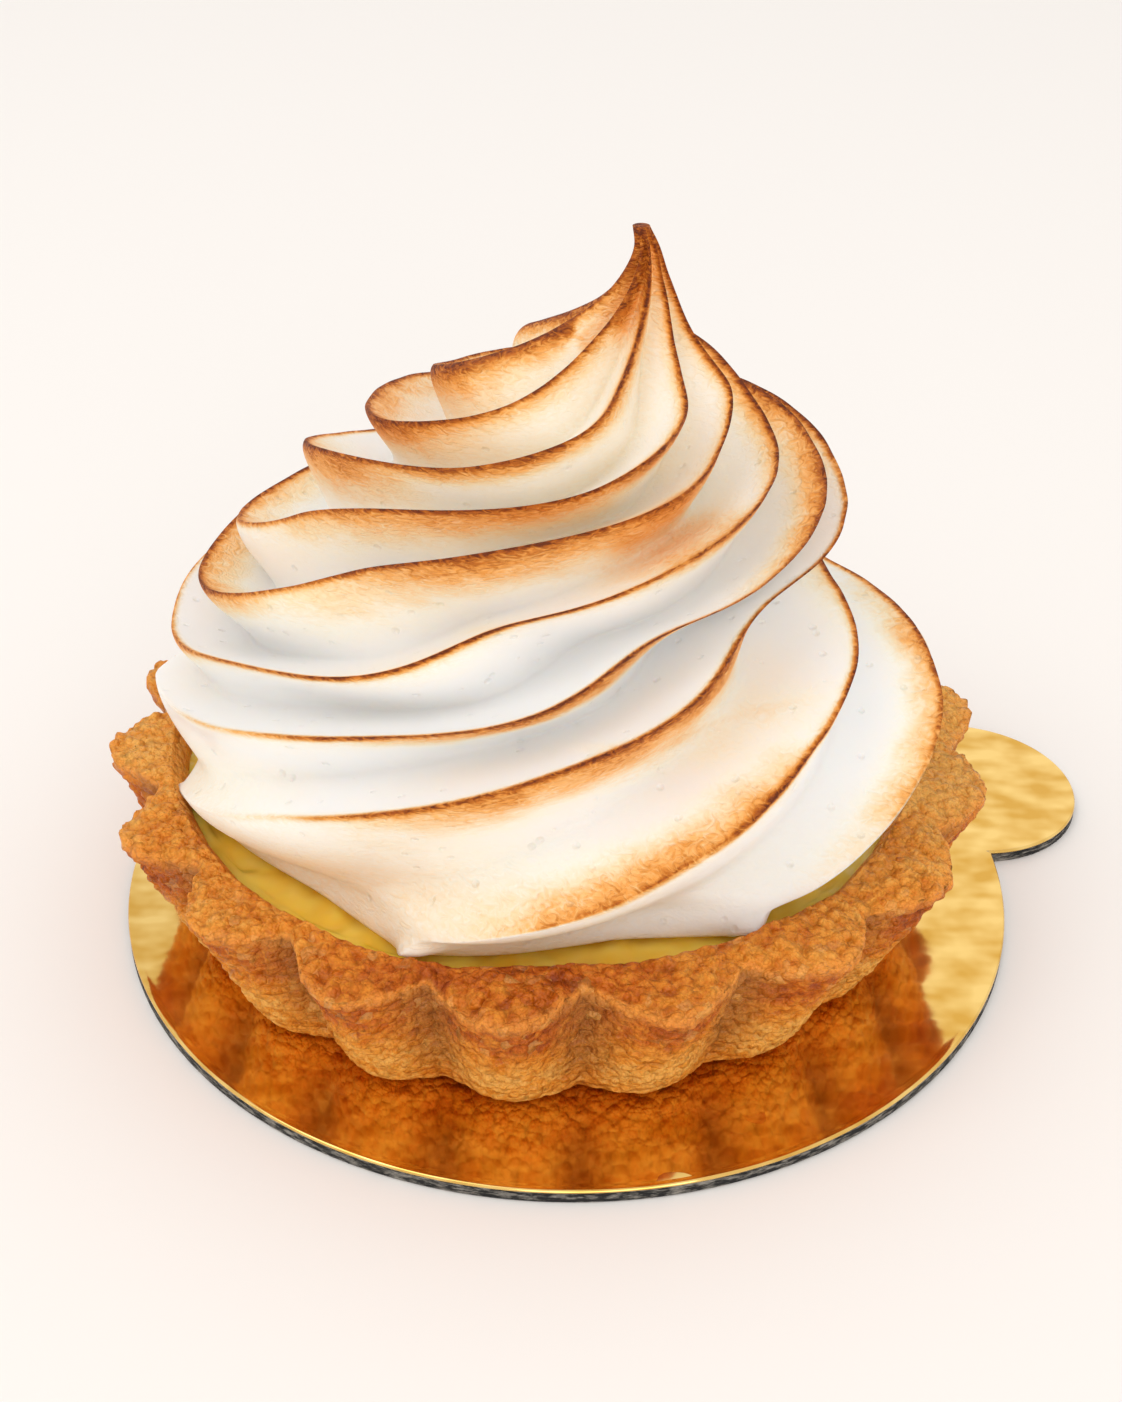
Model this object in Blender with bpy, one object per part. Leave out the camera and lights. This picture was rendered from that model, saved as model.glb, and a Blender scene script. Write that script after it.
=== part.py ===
# A key lime tart: a fluted shortcrust case filled with lime curd, topped with one piped swirl of
# torched meringue, standing on a round gold card with a finger tab.
# The frame is metres with +Z up. The origin is the centre of the card's round underside, and -Y is
# the side that the peak leans away from. Angles are in degrees, anticlockwise seen from above.

import math

import bmesh
import bpy
import numpy as np
from mathutils import Vector, noise

MM = 0.001
GAP = 0.3 * MM                      # left between pieces that rest on each other

# The card board: a disc with a round finger tab at its edge.
BOARD_RADIUS = 45.0 * MM
BOARD_THICKNESS = 1.3 * MM
BOARD_EDGE = 0.25 * MM              # the foil rolls over the rim of the card
TAB_RADIUS = 12.2 * MM
TAB_REACH = 46.5 * MM               # from the disc's centre to the tab's centre
TAB_ANGLE = 18.6

# The pastry case: a tapered shell with pressed flutes and a broken, uneven rim.
TART_CENTRE = (-2.5 * MM, 0.0)
FLUTES = 18
FLUTE_PHASE = 186.6                 # where one lobe of the fluting points
CASE_FOOT = 35.5 * MM               # lobe radius at the foot
CASE_RIM = 43.5 * MM                # lobe radius at the rim
CASE_HEIGHT = 16.7 * MM             # foot to rim
CASE_LEAN = 0.8 * MM                # how far the rim's outline sits to the right of the foot's
FLUTE_DEPTH_FOOT = 1.5 * MM
FLUTE_DEPTH_RIM = 4.2 * MM
FLUTE_SOFT = 0.35                   # share of that depth which the flutes on the right lack
FLUTE_ROUND = 0.8                   # 1 makes lobes and creases alike, less makes the creases narrow
CASE_BORE = 36.0 * MM               # inner radius at the rim
CASE_BORE_FLOOR = 31.0 * MM         # inner radius at the floor
CASE_FLOOR = 3.0 * MM               # thickness of the pastry floor
CASE_COLUMNS = 10                   # mesh columns in one flute
CRUMB = 0.45 * MM                   # height of the crags

CURD_DEPTH = 11.1 * MM              # from the pastry floor up

# The meringue, one row for each height: height of the blades' edges above the card's underside,
# radius of the edges, where the swirl's own centre lies (x, y), how far the blades have turned,
# how deep the grooves are and how far the edges curl up. Millimetres and degrees.
FINS = 8                            # blades that an eight-point nozzle leaves
SWIRL = (
    # height  radius     x     y   turn  groove  lift
    (16.3, 34.0, -2.5, 0.0, -250, 3.0, 0.0),
    (18.5, 35.0, -2.5, 0.0, -247, 5.0, 0.5),
    (21.0, 37.0, -2.0, 0.0, -240, 6.0, 1.0),
    (25.0, 38.0, -1.5, 0.0, -225, 7.0, 1.5),
    (29.5, 37.5, -1.5, 0.0, -210, 7.0, 2.0),
    (34.0, 35.0, -3.0, -0.5, -188, 7.0, 2.5),
    (38.0, 32.0, -3.5, 0.0, -158, 7.0, 3.0),
    (42.0, 28.5, -3.0, -1.0, -115, 6.5, 3.5),
    (46.0, 25.5, -1.0, -0.5, -83, 6.0, 4.0),
    (49.5, 22.5, 0.0, 0.0, -50, 6.0, 4.0),
    (52.0, 17.5, 1.0, 0.0, 5, 5.5, 4.0),
    (54.5, 13.0, 2.0, 0.0, 35, 4.5, 3.0),
    (57.0, 8.5, 3.5, 1.0, 45, 3.5, 2.0),
    (60.5, 4.5, 5.5, 2.0, 47, 2.0, 0.5),
    (64.0, 2.0, 6.0, 1.5, 48, 1.0, 0.0),
    (67.0, 1.0, 6.0, 1.0, 49, 0.5, 0.0),
    (68.8, 0.7, 5.5, 0.5, 50, 0.0, 0.0),
)
FIN_SHIFT = (10, 5, 0, -10, -5, 0, -5, 5)       # how far each blade stands from even spacing
FACE_SHARE = 0.64                   # share of a blade's spacing that its outer, lower face takes
SWELL_MEAN, SWELL_RIGHT = 0.6, -0.3             # how far that face bulges, and what the right adds
# Where one coil lies on the next: mean height, how much higher on the left, depth, extra on the
# right. The blades step up as they cross it.
CREASES = ((43.0, 3.5, 2.5, 1.5), (52.0, -0.5, 1.5, 0.0))
CREASE_WIDTH = 2.2
CREASE_STEP = 1.3
# The middle coil lies tilted: how much its right side is up, at which height, over what reach.
COIL_TILT, COIL_LEVEL, COIL_REACH = 2.0, 40.0, 8.0
# Where the rope sags over the coil below: bearing, its spread, height, its reach, drop, outward.
SAGS = ((172, 28, 45.0, 6.0, 1.5, 3.5), (188, 26, 37.0, 5.0, 3.0, 0.8), (28, 34, 38.0, 6.0, 6.5, 0.0),
        (32, 24, 29.5, 5.0, 0.5, -4.5))
# Where the blades ran together on the lower left: bearing, its spread, height, its reach, and the
# share of the groove that is filled.
MERGED = (190, 50, 27.0, 9.0)
MERGED_SHARE = 0.7
FIN_COLUMNS = 9                     # mesh columns in one blade
SWIRL_ROWS = 48


def material(name, colour, roughness, metallic=0.0):
    """A plain Principled material of one colour."""
    mat = bpy.data.materials.new(name)
    mat.use_nodes = True
    shader = mat.node_tree.nodes["Principled BSDF"]
    shader.inputs["Base Color"].default_value = (*colour, 1.0)
    shader.inputs["Roughness"].default_value = roughness
    shader.inputs["Metallic"].default_value = metallic
    mat.diffuse_color = (*colour, 1.0)
    return mat


def add_object(name, points, faces, mat, sharp=40.0):
    """One closed mesh object at the origin, smooth except at edges steeper than sharp degrees."""
    mesh = bpy.data.meshes.new(name)
    mesh.from_pydata([tuple(p) for p in points], [], faces)
    mesh.materials.append(mat)
    mesh.shade_smooth()
    mesh.set_sharp_from_angle(angle=math.radians(sharp))
    obj = bpy.data.objects.new(name, mesh)
    bpy.context.scene.collection.objects.link(obj)
    return obj


def ring_faces(rows, columns):
    """Quads between neighbouring rings of a rows by columns grid that closes on itself."""
    faces = []
    for i in range(rows - 1):
        for j in range(columns):
            k = (j + 1) % columns
            a, b = i * columns, (i + 1) * columns
            faces.append((a + j, a + k, b + k, b + j))
    return faces


def close_ends(points, faces, rows, columns):
    """Fans that close the first and last rings of a grid on a point at each ring's middle."""
    first = points[:columns].mean(axis=0)
    last = points[-columns:].mean(axis=0)
    points = np.vstack([points, first, last])
    bottom, top = rows * columns, rows * columns + 1
    start = (rows - 1) * columns
    for j in range(columns):
        k = (j + 1) % columns
        faces.append((k, j, bottom))
        faces.append((start + j, start + k, top))
    return points, faces


def smooth_rows(table, count):
    """The table's columns read at count even steps along its outline, on a curve through the rows."""
    table = np.array(table, dtype=float)
    steps = np.hypot(np.diff(table[:, 0]), np.diff(table[:, 1]))
    along = np.concatenate([[0.0], np.cumsum(steps)])
    slope = np.gradient(table, along, axis=0)
    where = np.linspace(0.0, along[-1], count)
    i = np.clip(np.searchsorted(along, where) - 1, 0, len(along) - 2)
    span = (along[i + 1] - along[i])[:, None]
    t = ((where - along[i])[:, None]) / span
    h00 = 2 * t**3 - 3 * t**2 + 1
    h10 = t**3 - 2 * t**2 + t
    h01 = 3 * t**2 - 2 * t**3
    h11 = t**3 - t**2
    return (h00 * table[i] + h10 * span * slope[i]
            + h01 * table[i + 1] + h11 * span * slope[i + 1])


def build_board(mat):
    """The disc's arc and the tab's arc, joined where the circles cross, raised to the thickness."""
    turn = math.radians(TAB_ANGLE)
    tab = Vector((TAB_REACH * math.cos(turn), TAB_REACH * math.sin(turn)))
    along = (TAB_REACH**2 + BOARD_RADIUS**2 - TAB_RADIUS**2) / (2 * TAB_REACH)
    disc_half = math.acos(along / BOARD_RADIUS)
    tab_half = math.acos((TAB_REACH - along) / TAB_RADIUS)
    outline = []
    for a in np.linspace(turn + disc_half, turn + 2 * math.pi - disc_half, 97)[:-1]:
        outline.append((BOARD_RADIUS * math.cos(a), BOARD_RADIUS * math.sin(a)))
    for a in np.linspace(turn - math.pi + tab_half, turn + math.pi - tab_half, 31)[:-1]:
        outline.append((tab.x + TAB_RADIUS * math.cos(a), tab.y + TAB_RADIUS * math.sin(a)))
    bm = bmesh.new()
    base = bm.faces.new([bm.verts.new((x, y, 0.0)) for x, y in outline])
    raised = bmesh.ops.extrude_face_region(bm, geom=[base])
    top = [v for v in raised["geom"] if isinstance(v, bmesh.types.BMVert)]
    bmesh.ops.translate(bm, verts=top, vec=(0.0, 0.0, BOARD_THICKNESS))
    bmesh.ops.recalc_face_normals(bm, faces=bm.faces)
    rim = [e for e in bm.edges if all(v.co.z > BOARD_THICKNESS / 2 for v in e.verts)]
    bmesh.ops.bevel(bm, geom=rim, offset=BOARD_EDGE, segments=1, affect="EDGES")
    mesh = bpy.data.meshes.new("cake_board")
    bm.to_mesh(mesh)
    bm.free()
    mesh.materials.append(mat)
    mesh.shade_smooth()
    mesh.set_sharp_from_angle(angle=math.radians(40.0))
    obj = bpy.data.objects.new("cake_board", mesh)
    bpy.context.scene.collection.objects.link(obj)


def bore_radius(height):
    """Inner radius of the case at a height above the pastry's foot: a straight taper."""
    share = (height - CASE_FLOOR) / (CASE_HEIGHT - CASE_FLOOR)
    return CASE_BORE_FLOOR + (CASE_BORE - CASE_BORE_FLOOR) * share


def flute(angle):
    """1 on a lobe and 0 in the crease between two lobes: a wave drawn to round, wide lobes."""
    wave = 0.5 + 0.5 * math.cos(math.radians(FLUTES * (angle - FLUTE_PHASE)))
    return wave**FLUTE_ROUND


def build_crust(mat):
    """Each ring is the case's outline at one station of its wall, from under the foot to the floor."""
    foot = BOARD_THICKNESS + GAP
    stations = []                   # (share of the height, how far in from the wall, crumb share)
    for share, inset, rough in ((0.0, 1.2, 0.0), (0.04, 0.25, 0.3), (0.2, 0.0, 0.8),
                                (0.42, 0.0, 1.0), (0.64, 0.0, 1.0), (0.84, 0.0, 1.0),
                                (0.96, 0.3, 1.0), (1.0, 1.2, 1.0)):
        stations.append((share, inset * MM, rough))
    columns = FLUTES * CASE_COLUMNS
    angles = np.arange(columns) * 360.0 / columns
    rings = []
    for share, inset, rough in stations:
        for angle in angles:
            lobe = flute(angle)
            turn = math.radians(angle)
            wall = CASE_FOOT + (CASE_RIM - CASE_FOOT) * share**0.9
            depth = FLUTE_DEPTH_FOOT + (FLUTE_DEPTH_RIM - FLUTE_DEPTH_FOOT) * share
            depth *= 1.0 - FLUTE_SOFT * max(0.0, math.cos(turn))
            radius = wall - depth * (1.0 - lobe) + CASE_LEAN * share * math.cos(turn) - inset
            seat = Vector((math.cos(turn), math.sin(turn), 0.0))
            spot = seat * radius * 400 + Vector((0, 0, share * 7))
            crag = noise.fractal(spot, 0.8, 2.1, 3) * CRUMB * rough
            sag = noise.noise(seat * 3.0) * 0.7 * MM * share if share > 0.8 else 0.0
            rings.append((seat.x * (radius + crag), seat.y * (radius + crag),
                          foot + CASE_HEIGHT * share + sag + crag * 0.5))
    for share, inset in ((1.0, 1.6), (0.97, 0.0), (0.9, -0.0)):
        for angle in angles:
            turn = math.radians(angle)
            seat = Vector((math.cos(turn), math.sin(turn), 0.0))
            height = CASE_HEIGHT * share
            radius = bore_radius(height) + inset * MM
            sag = noise.noise(seat * 3.0) * 0.7 * MM if share == 1.0 else 0.0
            crag = noise.fractal(seat * radius * 400, 0.8, 2.1, 3) * CRUMB if share == 1.0 else 0.0
            rings.append((seat.x * radius, seat.y * radius, foot + height + sag + crag * 0.5))
    for angle in angles:
        turn = math.radians(angle)
        radius = bore_radius(CASE_FLOOR)
        rings.append((math.cos(turn) * radius, math.sin(turn) * radius, foot + CASE_FLOOR))
    points = np.array(rings)
    rows = len(points) // columns
    faces = ring_faces(rows, columns)
    points, faces = close_ends(points, faces, rows, columns)
    points[:, 0] += TART_CENTRE[0]
    points[:, 1] += TART_CENTRE[1]
    add_object("crust", points, faces, mat, sharp=70.0)


def build_curd(mat):
    """A turned plug that fills the case to its level, with a low meniscus at the wall."""
    floor = CASE_FLOOR + GAP
    level = floor + CURD_DEPTH
    foot = BOARD_THICKNESS + GAP
    profile = [(bore_radius(floor) - GAP, floor), (bore_radius(level) - GAP, level),
               (bore_radius(level) - 1.2 * MM, level - 0.2 * MM),
               (0.5 * CASE_BORE, level - 0.2 * MM)]
    columns = 72
    points = []
    for radius, height in profile:
        for j in range(columns):
            a = 2 * math.pi * j / columns
            points.append((radius * math.cos(a), radius * math.sin(a), foot + height))
    points = np.array(points)
    faces = ring_faces(len(profile), columns)
    points, faces = close_ends(points, faces, len(profile), columns)
    points[:, 0] += TART_CENTRE[0]
    points[:, 1] += TART_CENTRE[1]
    add_object("lime_curd", points, faces, mat)


def blade_profile(place, angle):
    """1 on a blade's edge and 0 in the groove: a broad face below that bulges, most on the left,
    and a steep hollow face above."""
    share = place - np.floor(place)
    face = np.clip(1.0 - share / FACE_SHARE, 0.0, 1.0)
    back = np.clip((share - FACE_SHARE) / (1.0 - FACE_SHARE), 0.0, 1.0)
    full = SWELL_MEAN + SWELL_RIGHT * np.cos(angle)
    swell = full * (0.5 - 0.5 * np.cos(np.pi * face)) + (1.0 - full) * face**1.2
    return np.where(share < FACE_SHARE, swell, back**1.6)


def near_place(angle, height, bearing, spread, level, reach):
    """1 at a bearing and height on the swirl, falling smoothly to 0 around it."""
    turned = (np.degrees(angle) - bearing + 180.0) % 360.0 - 180.0
    return np.exp(-(turned / spread)**2 - ((height - level) / reach)**2)


def build_meringue(mat):
    """Each ring is a star whose points are the blades, turned and shifted up the swirl."""
    columns = FINS * FIN_COLUMNS
    place = np.arange(columns) / FIN_COLUMNS
    uneven = np.interp(place, np.arange(FINS + 1), FIN_SHIFT + FIN_SHIFT[:1])
    points = []
    for height, radius, x, y, turn, groove, lift in smooth_rows(SWIRL, SWIRL_ROWS):
        angle = np.radians(turn + uneven + (place - FINS / 2) * 360.0 / FINS)
        hollow = 1.0 - blade_profile(place, angle)
        reach = radius - groove * hollow * (1.0 - MERGED_SHARE * near_place(angle, height, *MERGED))
        rise = height - lift * hollow
        for level, tilt, depth, extra in CREASES:
            off = (height - level + tilt * np.cos(angle)) / CREASE_WIDTH
            reach = reach - (depth + extra * np.cos(angle)) * np.exp(-off**2)
            rise = rise + CREASE_STEP * np.tanh(off) * np.exp(-(off / 4)**2)
        rise = rise + COIL_TILT * np.exp(-((height - COIL_LEVEL) / COIL_REACH)**2) * np.cos(angle)
        for bearing, spread, level, tall, drop, outward in SAGS:
            near = near_place(angle, height, bearing, spread, level, tall)
            reach = reach + outward * near
            rise = rise - drop * near
        points.append(np.column_stack([x + reach * np.cos(angle), y + reach * np.sin(angle), rise]))
    points = np.vstack(points) * MM
    faces = ring_faces(SWIRL_ROWS, columns)
    points, faces = close_ends(points, faces, SWIRL_ROWS, columns)
    add_object("meringue", points, faces, mat, sharp=50.0)


for old in list(bpy.data.objects):
    bpy.data.objects.remove(old, do_unlink=True)

build_board(material("gold_card", (0.83, 0.60, 0.20), 0.25, 1.0))
build_crust(material("shortcrust", (0.62, 0.30, 0.10), 0.75))
build_curd(material("lime_curd", (0.80, 0.66, 0.22), 0.25))
build_meringue(material("meringue", (0.93, 0.88, 0.78), 0.5))
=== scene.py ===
# A single-portion key lime tart: torched Italian meringue piped on lime curd in a fluted shortcrust
# case, on a round gold card with a finger tab.
import math

import bpy
import numpy as np
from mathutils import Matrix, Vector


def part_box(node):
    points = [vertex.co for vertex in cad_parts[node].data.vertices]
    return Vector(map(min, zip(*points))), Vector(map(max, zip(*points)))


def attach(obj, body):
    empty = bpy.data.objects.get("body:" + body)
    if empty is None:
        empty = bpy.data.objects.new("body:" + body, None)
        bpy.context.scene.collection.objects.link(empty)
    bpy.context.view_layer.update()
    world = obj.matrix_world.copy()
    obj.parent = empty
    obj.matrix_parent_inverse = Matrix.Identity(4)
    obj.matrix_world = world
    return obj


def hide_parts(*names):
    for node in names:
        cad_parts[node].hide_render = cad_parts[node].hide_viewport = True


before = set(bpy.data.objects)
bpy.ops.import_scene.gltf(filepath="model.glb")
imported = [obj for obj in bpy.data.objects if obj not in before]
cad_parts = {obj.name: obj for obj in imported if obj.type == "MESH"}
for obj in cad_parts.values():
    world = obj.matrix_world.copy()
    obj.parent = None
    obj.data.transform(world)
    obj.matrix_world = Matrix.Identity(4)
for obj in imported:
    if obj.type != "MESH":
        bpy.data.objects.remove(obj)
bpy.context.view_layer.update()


# ---------------------------------------------------------------------------------------------
# The card. A disc of grey board with a round tab to lift it by, laminated on top with gold foil
# that rolls over the cut edge. The two layers are one bonded sheet.

MM = 0.001
CARD_LOW, CARD_HIGH = (np.array(corner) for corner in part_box("cake_board"))
CARD_RADIUS = (CARD_HIGH[1] - CARD_LOW[1]) / 2
CARD_TOP = CARD_HIGH[2]
TAB_RADIUS = 12.2 * MM
TAB_TURN = math.radians(18.6)
TAB_REACH = (CARD_HIGH[0] - TAB_RADIUS) / math.cos(TAB_TURN)
FOIL_ROLL, FOIL_SKIN = 0.25 * MM, 0.08 * MM
FOIL_SINK = 0.06 * MM  # keeps the ripples of the foil under the card's full height
EDGE_EASE = 0.02 * MM  # the cut lower edge of the board isn't quite sharp
PLY_GAP = 0.01 * MM  # between the board's top and the foil's underside
HUB = 0.6  # the innermost ring of a hidden face, as a share of the way out
CARD_COLUMNS, FOIL_RINGS = 560, 110


def linear(code):
    """A colour from its sRGB hex code, as the linear values the shaders take."""
    part = np.array([int(code[i:i + 2], 16) for i in (1, 3, 5)]) / 255.0
    return tuple(np.where(part <= 0.04045, part / 12.92, ((part + 0.055) / 1.055)**2.4)) + (1.0,)


def node(tree, kind, links=None, stops=(), **settings):
    """Adds a shader node. Settings whose name is a socket set it, the others set the node. Links feed
    sockets from other nodes or with fixed values. Stops are a ramp's places and sRGB hex codes."""
    made = tree.nodes.new(kind)
    for name, value in settings.items():
        label = name.replace("_", " ")
        if label in made.inputs:
            made.inputs[label].default_value = value
        else:
            setattr(made, name, value)
    for name, source in (links or {}).items():
        if isinstance(source, bpy.types.NodeSocket):
            tree.links.new(source, made.inputs[name])
        else:
            made.inputs[name].default_value = source
    if stops:
        marks = made.color_ramp.elements
        marks[0].position, marks[0].color = stops[0][0], linear(stops[0][1])
        marks[1].position, marks[1].color = stops[-1][0], linear(stops[-1][1])
        for place, code in stops[1:-1]:
            marks.new(place).color = linear(code)
    return made


def material(name):
    """An empty material, its tree and its output node."""
    made = bpy.data.materials.new(name)
    made.use_nodes = True
    made.node_tree.nodes.clear()
    return made, made.node_tree, made.node_tree.nodes.new("ShaderNodeOutputMaterial")


def grid_piece(name, points, finish, attributes=None):
    """A closed mesh from rings of points, rows by columns by 3: quads join each ring to the next,
    and a fan closes the first and the last ring on its middle."""
    rows, columns = points.shape[:2]
    index = np.arange(rows * columns).reshape(rows, columns)
    lower, upper = index[:-1], index[1:]
    quads = np.stack([lower, np.roll(lower, -1, 1), np.roll(upper, -1, 1), upper], -1).reshape(-1, 4)
    first = np.full(columns, rows * columns)
    last = first + 1
    fans = np.concatenate([np.stack([np.roll(index[0], -1), index[0], first], -1),
                           np.stack([index[-1], np.roll(index[-1], -1), last], -1)])
    ends = np.stack([points[0].mean(0), points[-1].mean(0)])
    places = np.concatenate([points.reshape(-1, 3), ends])
    mesh = bpy.data.meshes.new(name)
    mesh.vertices.add(len(places))
    mesh.vertices.foreach_set("co", places.astype(np.float32).ravel())
    corners = np.concatenate([quads.ravel(), fans.ravel()])
    mesh.loops.add(len(corners))
    mesh.loops.foreach_set("vertex_index", corners.astype(np.int32))
    sizes = np.concatenate([np.full(len(quads), 4), np.full(len(fans), 3)])
    mesh.polygons.add(len(sizes))
    starts = np.concatenate([[0], np.cumsum(sizes)[:-1]])
    mesh.polygons.foreach_set("loop_start", starts.astype(np.int32))
    mesh.update(calc_edges=True)
    for label, values in (attributes or {}).items():
        flat = np.concatenate([values.ravel(), [values[0].mean(), values[-1].mean()]])
        mesh.attributes.new(label, "FLOAT", "POINT").data.foreach_set("value", flat.astype(np.float32))
    mesh.materials.append(finish)
    mesh.shade_smooth()
    piece = bpy.data.objects.new(name, mesh)
    bpy.context.scene.collection.objects.link(piece)
    return piece


LATTICE = np.random.default_rng(7).uniform(-1.0, 1.0, (64, 64, 64))


def cloud(points, size):
    """Smooth noise from -1 to 1: random values on a lattice whose cells are size wide, blended
    between the eight nearest corners with a smooth step. points is any array ending in x, y, z."""
    spot = points / size + 1000.0
    cell = np.floor(spot).astype(int)
    part = spot - cell
    part = part * part * (3.0 - 2.0 * part)
    total = 0.0
    for corner in range(8):
        step = np.array([corner & 1, corner >> 1 & 1, corner >> 2 & 1])
        share = np.where(step, part, 1.0 - part).prod(-1)
        where = (cell + step) % 64
        total = total + share * LATTICE[where[..., 0], where[..., 1], where[..., 2]]
    return total


def card_outline(count, inset=0.0):
    """Points round the card's edge, evenly spaced: the disc's arc, then the tab's, drawn inset."""
    disc, tab = CARD_RADIUS - inset, TAB_RADIUS - inset
    along = (TAB_REACH**2 + disc**2 - tab**2) / (2 * TAB_REACH)
    disc_half = math.acos(along / disc)
    tab_half = math.acos((TAB_REACH - along) / tab)
    disc_share = disc * (math.pi - disc_half)
    tab_share = tab * (math.pi - tab_half)
    on_disc = round(count * disc_share / (disc_share + tab_share))
    a = np.linspace(TAB_TURN + disc_half, TAB_TURN + 2 * math.pi - disc_half, on_disc, endpoint=False)
    b = np.linspace(TAB_TURN - math.pi + tab_half, TAB_TURN + math.pi - tab_half, count - on_disc,
                    endpoint=False)
    centre = TAB_REACH * np.array([math.cos(TAB_TURN), math.sin(TAB_TURN)])
    return np.concatenate([disc * np.stack([np.cos(a), np.sin(a)], -1),
                           centre + tab * np.stack([np.cos(b), np.sin(b)], -1)])


def sheet_points(profile, count):
    """Rings of one flat piece of the card: each (inset, share of the way out, height) is a ring
    that is the inset outline shrunk towards the disc's centre."""
    rings = []
    for inset, share, height in profile:
        flat = card_outline(count, inset) * share
        rings.append(np.concatenate([flat, np.full((count, 1), height)], -1))
    return np.stack(rings)


# Gold foil laminate: metallised film pressed on paper, mirror bright in gold's own colour. Its
# crinkle, ripples about 2 mm long and dents of 4 mm, breaks reflections into short waves.
foil, tree, out = material("gold_foil_laminate")
place = node(tree, "ShaderNodeTexCoord").outputs["Object"]
stretched = node(tree, "ShaderNodeMapping", {"Vector": place}, Scale=(0.45, 1.0, 1.0)).outputs["Vector"]
ripple = node(tree, "ShaderNodeTexNoise", {"Vector": stretched}, Scale=520.0, Detail=1.0, Roughness=0.4)
dents = node(tree, "ShaderNodeTexNoise", {"Vector": place}, Scale=240.0, Detail=2.0)
press = node(tree, "ShaderNodeMix", {"A": ripple.outputs["Fac"], "B": dents.outputs["Fac"]}, Factor=0.5)
bump = node(tree, "ShaderNodeBump", {"Height": press.outputs["Result"]}, Strength=0.22,
            Distance=0.22 * MM)
# the gold is painted lighter where the crinkle rises and darker where it sinks: a painted sheen and
# shade over gold's own colour
gold_and_crinkle_sheen = node(tree, "ShaderNodeValToRGB", {"Fac": press.outputs["Result"]},
            stops=((0.38, "#E0AC4C"), (0.62, "#FCD480")))
shine = node(tree, "ShaderNodeBsdfPrincipled", {"Base Color": gold_and_crinkle_sheen.outputs["Color"],
                                                "Normal": bump.outputs["Normal"]},
             Metallic=1.0, Roughness=0.09)
tree.links.new(shine.outputs["BSDF"], out.inputs["Surface"])

# Greyboard: pressed waste paper, cut by a die, so its edge is charcoal with pale fibre specks a
# millimetre long, flattened along the sheet.
greyboard, tree, out = material("greyboard")
place = node(tree, "ShaderNodeTexCoord").outputs["Object"]
layered = node(tree, "ShaderNodeMapping", {"Vector": place}, Scale=(0.6, 0.6, 2.5)).outputs["Vector"]
specks = node(tree, "ShaderNodeTexNoise", {"Vector": layered}, Scale=1100.0, Detail=4.0, Roughness=0.7)
shade = node(tree, "ShaderNodeValToRGB", {"Fac": specks.outputs["Fac"]},
             stops=((0.46, "#100F0E"), (0.64, "#8F897F")))
bump = node(tree, "ShaderNodeBump", {"Height": specks.outputs["Fac"]}, Strength=0.8, Distance=0.3 * MM)
board = node(tree, "ShaderNodeBsdfPrincipled", {"Base Color": shade.outputs["Color"],
                                                "Normal": bump.outputs["Normal"]}, Roughness=0.85)
tree.links.new(board.outputs["BSDF"], out.inputs["Surface"])

# each row of a profile: inset from the card's edge, share of the way out, height
seat = CARD_TOP - FOIL_SKIN
core = [(EDGE_EASE, HUB, CARD_LOW[2]), (EDGE_EASE, 1.0, CARD_LOW[2]),
        (0.0, 1.0, CARD_LOW[2] + 1.5 * EDGE_EASE), (0.0, 1.0, CARD_TOP - FOIL_ROLL),
        (FOIL_ROLL, 1.0, seat - PLY_GAP), (FOIL_ROLL, HUB, seat - PLY_GAP)]
card_core = grid_piece("card_core", sheet_points(core, CARD_COLUMNS), greyboard)
under = [(FOIL_ROLL, share, seat) for share in (HUB, 1.0)]
roll = [(FOIL_ROLL * (1.0 - math.sin(t)), 1.0, CARD_TOP - FOIL_ROLL * (1.0 - math.cos(t)))
        for t in np.linspace(math.pi / 2, 0.0, 6)]
top = [(FOIL_ROLL, share, CARD_TOP) for share in np.linspace(1.0, 0.02, FOIL_RINGS)[1:]]
film = sheet_points(under + roll + top, CARD_COLUMNS)
ripples = cloud(film * (0.5, 1.0, 0.0), 2.6 * MM) * 0.012 * MM
swells = cloud(film * (1.0, 1.0, 0.0), 9.0 * MM) * 0.02 * MM
flat_part = np.zeros(film.shape[:2])
flat_part[len(under) + len(roll):] = 1.0
film[..., 2] += (ripples + swells - FOIL_SINK) * flat_part
card_foil = grid_piece("card_foil", film, foil)
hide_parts("cake_board")
for piece in (card_core, card_foil):
    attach(piece, "root")


# ---------------------------------------------------------------------------------------------
# The case. Shortcrust pressed into a fluted tin, so the wall leans out in round lobes with narrow
# creases between them. The trimmed rim is broken and craggy, and darkest at the front.

CASE_CENTRE = np.array([-2.5 * MM, 0.0, 0.0])
CASE_FOOT = CARD_TOP + 0.3 * MM
CASE_HEIGHT = 16.7 * MM
FLUTES = 18
FLUTE_PHASE = math.radians(186.6)
FOOT_RADIUS, RIM_RADIUS, RIM_LEAN = 35.5 * MM, 43.5 * MM, 0.3 * MM
LEFT_LEAN = 2.6  # how many times more the rim leans in on the left than out on the right
# the flutes' depth at the foot and at the rim, the share they lose on the right, and a power that
# makes the lobes rounder than the creases
FOOT_FLUTE, RIM_FLUTE, FLUTE_SOFT, FLUTE_ROUND = 2.0 * MM, 4.9 * MM, 0.35, 0.65
BORE, BORE_FLOOR = 36.0 * MM, 31.0 * MM
FLOOR = 3.0 * MM
COARSE_CRUMB, FINE_CRUMB = 1.7 * MM, 0.95 * MM
# millimetres the wall is pushed in at shares of its height: the round foot, then the swollen rim
INSET_AT, INSET_BY = (0.0, 0.04, 0.82, 0.88, 0.92), (0.8, 0.1, 0.1, -0.20, -0.10)
CASE_COLUMNS = 860


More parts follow.
